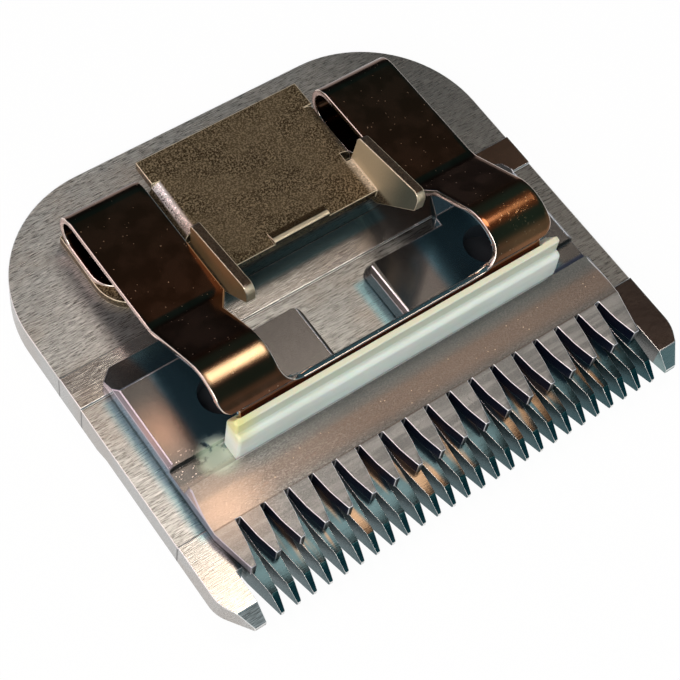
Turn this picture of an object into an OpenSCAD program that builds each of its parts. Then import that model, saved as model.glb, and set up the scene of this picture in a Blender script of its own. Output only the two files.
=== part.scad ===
// Detachable clipper blade: a fine comb, a coarse cutter that slides across it, a tension spring with
// its plastic guide, and the folded socket that takes the clipper's hinge tongue.
// X runs along the row of teeth, the teeth point towards -Y, and +Z is up.
// Heights count from the lapped top of the comb, lengths from the rear line of its rail.
// place() then moves the drawing so that the origin lies under the middle of the whole blade.

/* [Comb] */
// Width of the comb over both ears
comb_w = 48.8; // [44:0.2:60]
// Thickness of the comb under its lapped lands
comb_t = 3.4; // [3:0.1:4.4]
// Length of the plate behind the rail's rear line
comb_back = 17.15; // [15.5:0.05:22]
// Radius of the two rear corners in plan
rear_corner_r = 12; // [7:0.5:14]
// Radius of the two front corners in plan
front_corner_r = 3.5; // [2:0.1:5]
// Distance from the land's front edge back to where the sides start to curve
side_curve_l = 2.4; // [1.8:0.1:4]
// Length of the raised rail that carries the cutter's heel
rail_l = 3.45; // [2.8:0.05:4.2]
// Length of the relieved valley between rail and front land
valley_l = 14.9; // [13.5:0.1:20]
// Length of the lapped front land, up to the teeth's bevel
land_l = 7.35; // [6.8:0.05:9]
// Depth of the ground relief in the valley
valley_drop = 0.2; // [0.1:0.05:0.5]
// Depth of the relief behind the rail, where the socket is seated
seat_drop = 0.25; // [0.1:0.05:0.5]
// Height by which the underside is hollowed ahead of the heel
belly_rise = 0.55; // [0.2:0.05:0.9]
// Distance from the rail's rear line forward to the end of the flat heel
heel_l = 6; // [4:0.5:8]
// Length of the slope from the heel up into that hollow
belly_ramp_l = 1.5; // [0.5:0.1:3]

/* [Comb teeth] */
// Distance from one comb tooth to the next
comb_pitch = 1.6; // [1.3:0.1:2.2]
// Width of the slits between the comb teeth at their roots
comb_slit_w = 0.24; // [0.18:0.02:0.4]
// Width of a comb tooth at its tip
comb_tip_w = 0.38; // [0.26:0.02:0.6]
// Length of a slit from its root to the tips
comb_slit_l = 8.3; // [6.4:0.1:8.6]
// Length over which the slits widen towards the tips
comb_taper_l = 4.6; // [3:0.1:6]
// Length of the bevel that sharpens the tips from above
tip_bevel_l = 1.5; // [1:0.1:2.2]
// Height by which that bevel falls
tip_bevel_h = 1.3; // [0.8:0.1:1.6]
// Thickness of the tips
tip_t = 0.5; // [0.3:0.05:0.8]
// Length of the slope under the teeth
tip_under_l = 4; // [2:0.1:6]
// Width of each end ear
ear_w = 2.8; // [2.2:0.1:4]
// Width of an ear at its tip
ear_tip_w = 1.1; // [0.6:0.1:1.8]
// Direction of an ear's outer side, in degrees from straight ahead
ear_angle = 30; // [20:1:45]

/* [Cutter] */
// Distance from the comb's side in to the cutter's side
cutter_inset = 2.8; // [2:0.1:4]
// Thickness of the cutter's rear block
cutter_t = 2; // [1.6:0.1:2.6]
// Distance from the comb's tips back to the cutter's tips
cutter_lead = 3.7; // [3:0.1:4.4]
// Distance from the rail's rear line forward to the cutter's rear edge
cutter_heel = 1.35; // [0.8:0.05:1.8]
// Length of the sloping heel behind the rear block
heel_ramp_l = 3.2; // [2.4:0.1:4]
// Thickness of the heel at its rear edge
heel_t = 0.15; // [0.05:0.05:0.5]
// Half width of the part whose rear edge is set back
shelf_half_w = 12; // [10:0.5:14]
// Distance by which that rear edge is set back
shelf_set = 3.45; // [2.6:0.05:4]
// Length of the slanted step between both rear edges
shelf_step = 2.2; // [1:0.1:3]
// Length by which the set-back faces lean forward over their height
shelf_lean = 0.8; // [0.2:0.1:1.2]
// Length of the cut across the cutter's two rear outer corners
heel_corner = 1.3; // [0.5:0.1:2]
// Width of the slot that the clipper's drive lever enters
slot_w = 7.4; // [6:0.1:9]
// Wall between the end of that slot and the guide groove
slot_wall = 0.85; // [0.6:0.05:1.6]
// Corner radius of the slot and of the legs beside it
slot_r = 1; // [0.6:0.1:1.6]
// Distance by which those corners run past the slot's sides
slot_cross = 0.02; // [0.01:0.01:0.05]
// Bevel along the cutter's upper edges
bevel = 0.4; // [0.2:0.05:0.6]
// Diameter of the round hole in each leg
leg_hole_d = 4; // [2.5:0.1:5]
// Distance of those holes from the middle
leg_hole_x = 14.2; // [11:0.1:16]
// Distance from the groove back to those holes' axes
leg_hole_set = 3.65; // [3:0.05:4.2]
// Where the cutter stands on its stroke
cutter_shift = -0.1; // [-1:0.1:1]

/* [Cutter teeth] */
// Distance from one cutter tooth to the next
cutter_pitch = 2.4; // [2:0.1:3.2]
// Length of the gaps between the cutter teeth
cutter_gap_l = 4.2; // [3.4:0.1:4.6]
// Width of those gaps at their roots
cutter_root_w = 0.46; // [0.3:0.02:0.7]
// Width of those gaps halfway along
cutter_mid_w = 1; // [0.8:0.05:1.4]
// Width of a cutter tooth at its tip
cutter_tip_w = 0.46; // [0.3:0.02:0.7]
// Distance from the cutter's tips back to the guide groove
nose_l = 8.4; // [7:0.1:10]
// Height of the nose where it meets the groove
nose_h = 2.1; // [1.8:0.05:2.5]
// Height of the cutter's tips
nose_tip_h = 1.4; // [1:0.05:1.6]
// Radius of the grinding wheel that hollows the nose
nose_r = 36; // [24:1:80]
// Length over which the two end teeth narrow
end_taper_l = 4; // [3:0.1:5]
// Width by which they narrow
end_taper_w = 0.9; // [0.4:0.1:1.2]

/* [Tension spring] */
// Thickness of the spring sheet
spring_t = 0.6; // [0.4:0.05:0.8]
// Width over both legs
spring_w = 34.4; // [33:0.2:40]
// Width of the legs over the hump
leg_front_w = 6; // [5:0.1:6.6]
// Outside radius of the U-turns at the rear
loop_r = 2.2; // [1.8:0.05:2.6]
// Distance from the rail's rear line back to the U-turns' centre
loop_back = 9.6; // [8.8:0.1:11]
// Length of the feet ahead of the U-turns' centre
foot_l = 5.3; // [4:0.1:6]
// Rise of the legs above level, in degrees
leg_slope = 2; // [0:0.5:4]
// Slope of the legs up to the hump, in degrees
hump_slope = 30; // [24:1:40]
// Radius of the upward bend ahead of the legs
dip_r = 2.8; // [1.5:0.1:4]
// Outside radius of the hump
hump_r = 3.8; // [3.2:0.1:4.4]
// Height of the hump's axis
hump_z = 5.45; // [4.8:0.05:6.2]
// Angle at which the cut-out's front edge lies on the hump's front, above level
cut_angle = 22; // [10:1:40]
// Corner radius of the cut-out
cut_r = 2; // [1:0.1:2.4]
// Distance from the hump's axis back to where the legs start to widen
widen_back = 5.4; // [4.5:0.1:6.5]
// Length over which they widen
widen_l = 2; // [1:0.1:3]
// Width that the front bar loses at each end, below the hump's corners
neck_w = 1.5; // [0.6:0.1:2.4]
// Height of those corners' lower edge
neck_z = 7; // [6.9:0.05:7.6]
// Radius of those corners
neck_r = 1.1; // [0.4:0.1:1.4]
// Radius of the feet's outer front corners
foot_r = 2.4; // [1:0.1:3]
// Size of the cut across the feet's inner front corners
foot_cut = 1.4; // [0.5:0.1:2]

/* [Blade guide] */
// Length of the guide
guide_l = 34; // [33:0.1:35]
// Distance by which the guide sits to the right of the middle of the bar
guide_aside = 0.5; // [0:0.1:1]
// Thickness of the guide ahead of the bar
guide_front_t = 1.1; // [0.8:0.05:1.5]
// Thickness of the guide behind the bar
guide_rear_t = 0.35; // [0.25:0.05:0.6]
// Height of the guide behind the bar
guide_rear_h = 5.25; // [4.4:0.05:6]
// Height of the guide ahead of the bar
guide_top_h = 6.8; // [6.5:0.05:6.85]
// Width of the ledge along that height
ledge_w = 0.5; // [0.3:0.05:0.7]
// Fall of that ledge towards its front edge
ledge_fall = 0.2; // [0.05:0.05:0.4]
// Height of the guide's shoulder, ahead of the ledge
shoulder_h = 5.2; // [4.6:0.05:5.9]
// Radius of the shoulder's front edge
shoulder_r = 0.55; // [0.3:0.05:0.55]
// Height of the floor of the groove that the guide runs in
groove_floor = 1.2; // [0.8:0.05:1.4]
// Thickness of the guide under the bar
guide_sole_t = 0.8; // [0.5:0.05:1.2]

/* [Hinge socket] */
// Thickness of the socket sheet
socket_t = 0.9; // [0.7:0.05:1.1]
// Clear width between the socket's walls
mouth_w = 16; // [14.5:0.1:17]
// Clear height under the socket's top plate
mouth_h = 3.35; // [3:0.05:3.8]
// Outside radius of the folds between top plate and walls
fold_r = 1.3; // [1.1:0.05:1.8]
// Distance from the rail's rear line back to the top plate's rear edge
plate_back = 13.1; // [12:0.1:14.5]
// Distance from the rail's rear line forward to its front edge
plate_front = 0.5; // [0:0.1:1]
// Length of the plain rear strip behind the folds
strip_l = 2.7; // [1.5:0.1:3.2]
// Distance from a wall's outer face in to the strip's side edge
strip_inset = 0.3; // [0:0.05:0.8]
// Distance from the rail's rear line back to the flanges' front edges
flange_back = 2.3; // [1.6:0.1:3]
// Radius of the flanges' outer front corners
flange_corner_r = 3.5; // [1.5:0.1:5]
// Inside radius of the folds between walls and flanges
flange_fold_r = 0.5; // [0.3:0.05:0.8]
// Distance from the rail's rear line back to the horns' rear edges
horn_back = 3.5; // [2.6:0.1:4.2]
// Distance from the rail's rear line forward to the horns' noses
horn_front = 5.2; // [4:0.1:6]
// Height of the horns at their rear edges
horn_rear_z = 7.2; // [6:0.1:7.6]
// Height of the horns at their noses
horn_nose_z = 8.5; // [7.8:0.1:9.2]
// Depth of the horns at their noses
horn_nose_h = 2.3; // [1.8:0.1:3]
// Outward lean of the horns, in degrees
horn_lean = 5; // [0:0.5:6]
// Radius of the horns' upper rear corners
horn_rear_r = 0.6; // [0.3:0.1:1]
// Radius of the horns' upper nose corners
horn_nose_r = 0.9; // [0.4:0.1:1.1]
// Radius of the horns' lower nose corners
horn_under_r = 0.5; // [0.3:0.1:0.7]
// Depth below the top plate at which the horns are rooted in the walls
horn_root = 0.7; // [0.5:0.1:1]
// Length of the relief cut between fold and horn
relief_l = 1; // [0.6:0.1:1.4]
// Width of the raised lip on the plate's front edge
lip_w = 5.9; // [3:0.1:9]
// Height of that lip
lip_h = 0.4; // [0.2:0.05:0.8]
// Length of the slope behind the lip
lip_slope_l = 1.1; // [0.4:0.1:1.6]
// Thickness of the lip along its top
lip_top_l = 0.3; // [0.2:0.05:0.5]

/* [Screws] */
// Diameter of the two screws
screw_d = 2.8; // [2.2:0.1:3.4]
// Diameter of their countersunk heads
head_d = 5.4; // [4.6:0.1:6]
// Depth by which the heads lie inside the comb
head_sink = 0.25; // [0.1:0.05:0.5]
// Distance from the rail's rear line back to their axes
screw_back = 7.6; // [6.6:0.1:8.6]
// Width of the driver slots
driver_slot_w = 0.7; // [0.5:0.05:1]
// Depth of the driver slots
driver_slot_h = 0.6; // [0.4:0.05:0.8]

/* [Fits] */
// Play on each side of the guide in its groove
groove_play = 0.06; // [0.02:0.01:0.1]
// Play on each side of the bar in the guide
bar_play = 0.03; // [0:0.01:0.08]
// Play at each end of the bar in the guide
bar_end_play = 0.1; // [0.05:0.05:0.3]
// Gap between the socket's horns and the spring's legs
horn_play = 0.3; // [0.2:0.05:0.6]
// Play round a screw in the comb
shank_play = 0.2; // [0.1:0.05:0.4]
// Play round a screw in its tapped holes
thread_play = 0.02; // [0.01:0.01:0.05]

/* [Hidden] */
$fn = 96;
// Overshoot of the cutting shapes
eps = 0.01;
// Overlap of a folded sheet's runs with its bends
lap = 0.03;
// Thinning of a folded sheet in a bend, on each face
bend_thin = 0.005;
// Overshoot of shapes that cut right through
over = 1;
// How deep the top plate's front part bites into the horns
plate_bite = socket_t / 3;

comb_half = comb_w / 2;
// Length that passes through everything
big = 1.25 * comb_w;
land_rear = -(rail_l + valley_l);
land_front = land_rear - land_l;
comb_tip = land_front - tip_bevel_l;
comb_teeth = floor((comb_w - 2 * ear_w) / comb_pitch + 0.001) - 1;
ear_in = comb_half - ear_w;

cutter_half = comb_half - cutter_inset;
cutter_tip = comb_tip + cutter_lead;
groove_front = cutter_tip + nose_l;
shelf_y = -cutter_heel - shelf_set;
end_tip_half = cutter_half - end_taper_w;
cutter_gaps = 2 * floor((end_tip_half - (cutter_pitch + cutter_tip_w) / 2) / cutter_pitch) + 1;

guide_front = groove_front + groove_play;
bar_front = guide_front + guide_front_t + bar_play;
bar_y = bar_front + spring_t / 2;
bar_back = bar_front + spring_t;
guide_back = bar_back + bar_play + guide_rear_t;
groove_back = guide_back + groove_play;
slot_end = groove_back + slot_wall;
leg_hole_y = groove_back + leg_hole_set;
bar_bottom = groove_floor + guide_sole_t;

seat_z = -seat_drop;
flange_top = seat_z + socket_t;
plate_z = seat_z + mouth_h;
plate_top = plate_z + socket_t;
wall_out = mouth_w / 2 + socket_t;
wall_top_z = plate_top - fold_r;
wall_root_z = plate_z - horn_root;
horn_out = wall_out + (horn_nose_z - wall_root_z) * tan(horn_lean);

spring_half = spring_w / 2;
leg_in = horn_out + horn_play;
hump_in = spring_half - leg_front_w;
bar_half = spring_half - neck_w;
hump_y = bar_front + hump_r;
loop_z = flange_top + loop_r;
foot_top = flange_top + spring_t;

screw_x = (leg_in + spring_half) / 2;
head_l = (head_d - screw_d) / 2;
screw_top = foot_top;

// Middle of the footprint: the comb's tips and its rear edge are the ends
mid_y = (comb_tip + comb_back) / 2;

module place() {
    translate([0, -mid_y, comb_t]) children();
}

// A side profile drawn in Y and Z, extruded along X about the middle
module along_x(width) {
    rotate([90, 0, 90])
        translate([0, 0, -width / 2])
            linear_extrude(width) children();
}

module both_sides() {
    children();
    mirror([1, 0, 0]) children();
}

// Side view of a folded sheet. A step is [length, turn, radius]: the sheet runs straight, then turns
// by that many degrees, to the left if positive, about a centre line of that radius.
module folded(steps, sheet, i = 0) {
    if (i < len(steps)) {
        run = steps[i][0];
        turn = steps[i][1];
        radius = steps[i][2];
        side = turn < 0 ? -1 : 1;
        behind = i > 0 ? lap : 0;
        ahead = turn != 0 ? lap : 0;
        translate([-behind, -sheet / 2]) square([behind + run + ahead, sheet]);
        translate([run, 0]) {
            if (turn != 0)
                translate([0, side * radius]) bend(radius, turn, sheet);
            translate([radius * sin(abs(turn)), side * radius * (1 - cos(turn))])
                rotate(turn) folded(steps, sheet, i + 1);
        }
    }
}

// One bend: a ring cut to its sector, a little thinner than the sheet, as a bent sheet is
module bend(radius, turn, sheet) {
    side = turn < 0 ? -1 : 1;
    reach = 4 * radius + 4 * sheet;
    step = turn / 4;
    intersection() {
        difference() {
            circle(radius + sheet / 2 - bend_thin);
            circle(radius - sheet / 2 + bend_thin);
        }
        polygon([[0, 0], for (k = [0:4]) reach * [sin(side * k * step), -side * cos(k * step)]]);
    }
}

// What a rounded corner takes off a square one, for a corner that points along +X and -Y
module corner_waste(r) {
    difference() {
        translate([-r, -over]) square([r + over, r + over]);
        translate([-r, r]) circle(r);
    }
}

// Comb: plan, side profile and the slits between its teeth

// What the rounded corner and the slanted side take off the comb beside an ear
module ear_waste() {
    front_x = comb_half - front_corner_r;
    front_y = land_front + side_curve_l;
    shoulder = [front_x + front_corner_r * cos(ear_angle), front_y - front_corner_r * sin(ear_angle)];
    ear_tip = ear_in + ear_tip_w;
    difference() {
        translate([front_x, comb_tip - over])
            square([front_corner_r + over, front_y - comb_tip + over]);
        translate([front_x, front_y]) circle(front_corner_r);
        polygon([[front_x - over, front_y], [front_x, front_y], shoulder, [ear_tip, comb_tip],
                 [ear_tip, comb_tip - 2 * over], [front_x - over, comb_tip - 2 * over]]);
    }
}

module comb_plan() {
    difference() {
        translate([-comb_half, comb_tip]) square([comb_w, comb_back - comb_tip]);
        both_sides() translate([comb_half, comb_back]) mirror([0, 1, 0]) corner_waste(rear_corner_r);
        both_sides() ear_waste();
    }
}

module comb_profile() {
    tip_under = -tip_bevel_h - tip_t;
    belly = belly_rise - comb_t;
    polygon([[comb_back, seat_z], [0, seat_z], [0, 0], [-rail_l, 0], [-rail_l, -valley_drop],
             [land_rear, -valley_drop], [land_rear, 0], [land_front, 0], [comb_tip, -tip_bevel_h],
             [comb_tip, tip_under], [comb_tip + tip_under_l, belly], [-heel_l - belly_ramp_l, belly],
             [-heel_l, -comb_t], [comb_back, -comb_t]]);
}

// One slit, drawn from its root towards the tips
module comb_slit() {
    root_half = comb_slit_w / 2;
    tip_half = (comb_pitch - comb_tip_w) / 2;
    neck = comb_slit_l - comb_taper_l;
    polygon([[-root_half, 0], [root_half, 0], [root_half, -neck], [tip_half, -comb_slit_l],
             [tip_half, -comb_slit_l - over], [-tip_half, -comb_slit_l - over],
             [-tip_half, -comb_slit_l],
             [-root_half, -neck]]);
}

module screw_hole(shank_r) {
    translate([0, 0, -comb_t - eps]) cylinder(r = shank_r, h = comb_t + 2 * eps);
    translate([0, 0, -comb_t - eps]) cylinder(d = head_d + 2 * shank_play, h = head_sink + eps);
    translate([0, 0, -comb_t + head_sink])
        cylinder(d1 = head_d + 2 * shank_play, d2 = screw_d + 2 * shank_play, h = head_l);
}

module comb() {
    end_gap_x = comb_teeth / 2 * comb_pitch;
    color([0.66, 0.64, 0.62])
        difference() {
            intersection() {
                translate([0, 0, -comb_t]) linear_extrude(comb_t) comb_plan();
                along_x(big) comb_profile();
            }
            for (i = [0:comb_teeth])
                translate([(i - comb_teeth / 2) * comb_pitch, comb_tip + comb_slit_l, -big / 2])
                    linear_extrude(big) comb_slit();
            both_sides()
                translate([end_gap_x, comb_tip - over, -big / 2])
                    cube([ear_in - end_gap_x, comb_taper_l + over, big]);
            both_sides()
                translate([screw_x, screw_back, 0]) screw_hole(screw_d / 2 + shank_play);
        }
}

// Cutter: plan with drive slot, legs and teeth, then the ground slopes from above

module cutter_plan() {
    heel_x = shelf_half_w + shelf_step;
    polygon([[slot_w / 2, shelf_y], [shelf_half_w, shelf_y], [heel_x, -cutter_heel],
             [cutter_half - heel_corner, -cutter_heel], [cutter_half, -cutter_heel - heel_corner],
             [cutter_half, cutter_tip + end_taper_l], [end_tip_half, cutter_tip],
             [-end_tip_half, cutter_tip], [-cutter_half, cutter_tip + end_taper_l],
             [-cutter_half, -cutter_heel - heel_corner], [heel_corner - cutter_half, -cutter_heel],
             [-heel_x, -cutter_heel], [-shelf_half_w, shelf_y], [-slot_w / 2, shelf_y],
             [-slot_w / 2, slot_end], [slot_w / 2, slot_end]]);
}

// One gap between two cutter teeth, drawn from its root towards the tips
module cutter_gap() {
    root_half = cutter_root_w / 2;
    mid_half = cutter_mid_w / 2;
    tip_half = (cutter_pitch - cutter_tip_w) / 2;
    polygon([[-root_half, 0], [root_half, 0], [mid_half, -cutter_gap_l / 2], [tip_half, -cutter_gap_l],
             [tip_half, -cutter_gap_l - over], [-tip_half, -cutter_gap_l - over],
             [-tip_half, -cutter_gap_l], [-mid_half, -cutter_gap_l / 2]]);
}

// The hollow of the nose is the grinding wheel itself, through the lip and the tips
module nose_grind() {
    chord = [cutter_tip - groove_front, nose_tip_h - nose_h];
    half = norm(chord) / 2;
    rise = sqrt(nose_r * nose_r - half * half);
    middle = [groove_front, nose_h] + chord / 2;
    centre = middle + rise * [chord[1], -chord[0]] / norm(chord);
    along_x(comb_w) translate(centre) circle(nose_r, $fn = 360);
}

// Clears the leaning rear faces beside the slot and rounds the legs' inner corners
module shelf_cut() {
    translate([0, shelf_y, 0])
        rotate([atan(shelf_lean / cutter_t), 0, 0])
            translate([0, 0, -over])
                linear_extrude(cutter_t + 3 * over) {
                    translate([-shelf_half_w, 0]) square([2 * shelf_half_w, shelf_set]);
                    both_sides()
                        translate([slot_w / 2, 0])
                            difference() {
                                translate([-over, -slot_r]) square([slot_r + over, slot_r + over / 2]);
                                translate([slot_r - slot_cross, -slot_r]) circle(slot_r);
                            }
                }
}

// The slot's two bevelled edges
module slot_bevel(block_z) {
    half = slot_w / 2;
    translate([0, slot_end, block_z])
        rotate([90, 0, 180])
            linear_extrude(big)
                polygon([[-half, 0], [half, 0], [half + bevel, bevel], [half + bevel, bevel + over],
                         [-half - bevel, bevel + over], [-half - bevel, bevel]]);
}

module cutter() {
    block_z = cutter_t - bevel;
    ramp_top = -cutter_heel - heel_ramp_l;
    color([0.68, 0.65, 0.62])
        translate([cutter_shift, 0, 0])
            difference() {
                linear_extrude(nose_h) cutter_plan();
                // Level top of the rear block, ahead to the groove
                translate([-big / 2, groove_front + eps, cutter_t]) cube([big, big, over]);
                // Sloping heel behind the rail contact
                along_x(comb_w)
                    polygon([[-cutter_heel, heel_t], [over, heel_t], [over, cutter_t + over],
                             [ramp_top, cutter_t + over], [ramp_top, cutter_t]]);
                shelf_cut();
                // Bevel along both sides
                both_sides()
                    translate([cutter_half, 0, block_z])
                        rotate([90, 0, 0])
                            translate([0, 0, -over])
                                linear_extrude(big)
                                    polygon([[0, 0], [over, 0], [over, bevel + over],
                                             [-bevel, bevel + over], [-bevel, bevel]]);
                slot_bevel(block_z);
                // Groove for the guide
                translate([-big / 2, groove_front, groove_floor])
                    cube([big, groove_back - groove_front, nose_h]);
                both_sides()
                    translate([leg_hole_x, leg_hole_y, -eps]) cylinder(d = leg_hole_d, h = nose_h);
                nose_grind();
                for (j = [0:cutter_gaps - 1])
                    translate([(j - (cutter_gaps - 1) / 2) * cutter_pitch, cutter_tip + cutter_gap_l, -over])
                        linear_extrude(nose_h + 2 * over) cutter_gap();
            }
}

// Tension spring: the folded profile, trimmed in plan by the cut-out

module spring_strip() {
    line_loop = loop_r - spring_t / 2;
    line_hump = hump_r - spring_t / 2;
    // The two straight runs that bring the hump over the guide
    start_y = loop_back + line_loop * sin(leg_slope);
    start_z = loop_z + line_loop * cos(leg_slope);
    ahead = start_y - bar_y - dip_r * (sin(hump_slope) - sin(leg_slope))
            - line_hump * (sin(hump_slope) + 1);
    up = hump_z - start_z - dip_r * (cos(leg_slope) - cos(hump_slope)) + line_hump * cos(hump_slope);
    spread = sin(hump_slope - leg_slope);
    level_run = (ahead * sin(hump_slope) - up * cos(hump_slope)) / spread;
    climb_run = (up * cos(leg_slope) - ahead * sin(leg_slope)) / spread;
    along_x(spring_w)
        translate([loop_back - foot_l, flange_top + spring_t / 2])
            folded([[foot_l, 180 - leg_slope, line_loop],
                    [level_run, leg_slope - hump_slope, dip_r],
                    [climb_run, 90 + hump_slope, line_hump],
                    [hump_z - bar_bottom, 0, 0]], spring_t);
}

// Everything inside the legs, behind the hump's crest
module cut_out_plan() {
    half = hump_in + eps;
    narrow_y = hump_y + widen_back;
    wide_y = narrow_y + widen_l;
    polygon([[-half, hump_y], [half, hump_y], [half, narrow_y], [leg_in, wide_y], [leg_in, big],
             [-leg_in, big], [-leg_in, wide_y], [-half, narrow_y]]);
}

// The cut-out's front edge and round corners, seen square to the sheet on the hump's shoulder
module cut_out_front() {
    square_half = hump_in - cut_r;
    translate([-square_half, 0]) square([2 * square_half, big / 2]);
    translate([-hump_in, cut_r]) square([2 * hump_in, big / 2]);
    both_sides() translate([square_half, cut_r]) circle(cut_r);
}

module foot_corners() {
    both_sides()
        translate([0, loop_back - foot_l, flange_top - eps])
            linear_extrude(spring_t + 2 * eps) {
                translate([spring_half, 0]) corner_waste(foot_r);
                polygon([[leg_in - over, -over], [leg_in + foot_cut + over, -over],
                         [leg_in - over, foot_cut + over]]);
            }
}

// The hump's two outer lower corners and what is cut away beside the bar, seen from ahead
module neck_cuts() {
    translate([0, hump_y, 0])
        rotate([90, 0, 0])
            linear_extrude(big / 2)
                both_sides() {
                    translate([spring_half, neck_z]) corner_waste(neck_r);
                    translate([bar_half, bar_bottom - over])
                        square([neck_w + over, neck_z - bar_bottom + over]);
                }
}

module tension_spring() {
    color([0.27, 0.2, 0.16])
        difference() {
            spring_strip();
            translate([0, 0, -big / 2]) linear_extrude(big) cut_out_plan();
            translate([0, hump_y, hump_z])
                rotate([90 - cut_angle, 0, 0])
                    linear_extrude(big / 2) cut_out_front();
            neck_cuts();
            foot_corners();
            both_sides()
                translate([screw_x, screw_back, flange_top - eps])
                    cylinder(r = screw_d / 2 + thread_play, h = spring_t + 2 * eps);
        }
}

// Blade guide: a bar with a closed slot, pushed up onto the spring's front edge

// Its section, drawn as if it had no slot
module guide_section() {
    ledge_y = bar_front - bar_play;
    step_y = ledge_y - ledge_w;
    difference() {
        polygon([[guide_front, groove_floor], [guide_back, groove_floor], [guide_back, guide_rear_h],
                 [ledge_y, guide_top_h], [step_y, guide_top_h - ledge_fall], [step_y, shoulder_h],
                 [guide_front, shoulder_h]]);
        translate([guide_front, shoulder_h]) rotate(180) corner_waste(shoulder_r);
    }
}

module blade_guide() {
    slot_half = bar_half + bar_end_play;
    color([0.91, 0.91, 0.83])
        difference() {
            translate([guide_aside, 0, 0]) along_x(guide_l) guide_section();
            translate([-slot_half, bar_front - bar_play, bar_bottom])
                cube([2 * slot_half, spring_t + 2 * bar_play, big]);
        }
}

// Hinge socket: a folded hat section with horns cut from its walls

// The folded length: top plate and walls
module hat(length) {
    both_sides()
        translate([0, 0, plate_top - socket_t / 2])
            rotate([90, 0, 0])
                translate([-lap, 0, -length])
                    linear_extrude(length)
                        folded([[wall_out - fold_r + lap, -90, fold_r - socket_t / 2],
                                [wall_top_z - wall_root_z, 0, 0]], socket_t);
}

// A wall's foot: the fold between wall and flange
module wall_foot(length) {
    translate([wall_out - socket_t / 2, 0, wall_root_z])
        rotate([90, 90, 0])
            translate([0, 0, -length])
                linear_extrude(length)
                    folded([[wall_root_z - flange_top - flange_fold_r, 90,
                             flange_fold_r + socket_t / 2]], socket_t);
}

// Rounded end of an outline, as points on an arc
function arc(centre, r, from, to, count = 5) =
    [for (k = [0:count]) centre + r * [for (a = [from + (to - from) * k / count]) each [cos(a), sin(a)]]];

// The front of a side wall, below its horn
module wall_front() {
    low = flange_top + flange_fold_r;
    along_x(socket_t)
        polygon([[horn_back + relief_l, low], [horn_back + relief_l, wall_root_z],
                 [-plate_front, wall_root_z], [flange_back, low]]);
}

module horn_outline() {
    nose_under = horn_nose_z - horn_nose_h;
    root_z = wall_root_z - plate_bite;
    polygon(concat([[horn_back, root_z]],
                   arc([horn_back - horn_rear_r, horn_rear_z - horn_rear_r], horn_rear_r, 0, 80),
                   arc([horn_nose_r - horn_front, horn_nose_z - horn_nose_r], horn_nose_r, 100, 180),
                   arc([horn_under_r - horn_front, nose_under + horn_under_r], horn_under_r, 180, 235),
                   [[-plate_front - plate_bite, wall_root_z], [plate_front, root_z]]));
}

module horn() {
    translate([mouth_w / 2, 0, wall_root_z])
        rotate([0, horn_lean, 0])
            translate([socket_t / 2, 0, -wall_root_z])
                along_x(socket_t) horn_outline();
}

module flange() {
    inner = wall_out + flange_fold_r;
    translate([0, flange_back, seat_z])
        linear_extrude(socket_t)
            difference() {
                translate([inner, 0]) square([spring_half - inner, loop_back + loop_r - flange_back]);
                translate([spring_half, 0]) corner_waste(flange_corner_r);
            }
}

module raised_lip() {
    along_x(lip_w)
        polygon([[lip_top_l + lip_slope_l - plate_front, plate_top - eps],
                 [lip_top_l - plate_front, plate_top + lip_h],
                 [-plate_front, plate_top + lip_h], [-plate_front, plate_top - eps]]);
}

module hinge_socket() {
    fold_front = horn_back + relief_l;
    fold_rear = plate_back - strip_l;
    strip_half = wall_out - strip_inset;
    color([0.56, 0.5, 0.38])
        difference() {
            union() {
                translate([0, fold_front, 0]) hat(fold_rear - fold_front);
                both_sides() translate([0, flange_back, 0]) wall_foot(fold_rear - flange_back);
                translate([-strip_half, fold_rear - eps, plate_z])
                    cube([2 * strip_half, strip_l + eps, socket_t]);
                translate([-mouth_w / 2 - plate_bite, -plate_front, plate_z])
                    cube([mouth_w + 2 * plate_bite, horn_back + plate_front, socket_t]);
                translate([-wall_out + fold_r, horn_back - eps, plate_z])
                    cube([2 * (wall_out - fold_r), relief_l + 2 * eps, socket_t]);
                raised_lip();
                both_sides() translate([wall_out - socket_t / 2, 0, 0]) wall_front();
                both_sides() horn();
                both_sides() flange();
            }
            both_sides()
                translate([screw_x, screw_back, seat_z - eps])
                    cylinder(r = screw_d / 2 + thread_play, h = socket_t + 2 * eps);
        }
}

// Screws: countersunk heads in the comb's underside, threaded into flange and foot

module socket_screw(side) {
    head_z = -comb_t + head_sink;
    color([0.58, 0.58, 0.6])
        translate([side * screw_x, screw_back, 0])
            difference() {
                union() {
                    translate([0, 0, head_z])
                        cylinder(d1 = head_d, d2 = screw_d, h = head_l);
                    translate([0, 0, head_z]) cylinder(d = screw_d, h = screw_top - head_z);
                }
                translate([-head_d, -driver_slot_w / 2, head_z - eps])
                    cube([2 * head_d, driver_slot_w, driver_slot_h + eps]);
            }
}

place() comb();
place() cutter();
place() tension_spring();
place() blade_guide();
place() hinge_socket();
place() socket_screw(-1);  // socket_screw_left
place() socket_screw(1);  // socket_screw_right
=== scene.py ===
import math

import bmesh
import bpy
import numpy as np
from mathutils import Matrix, Vector


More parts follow.
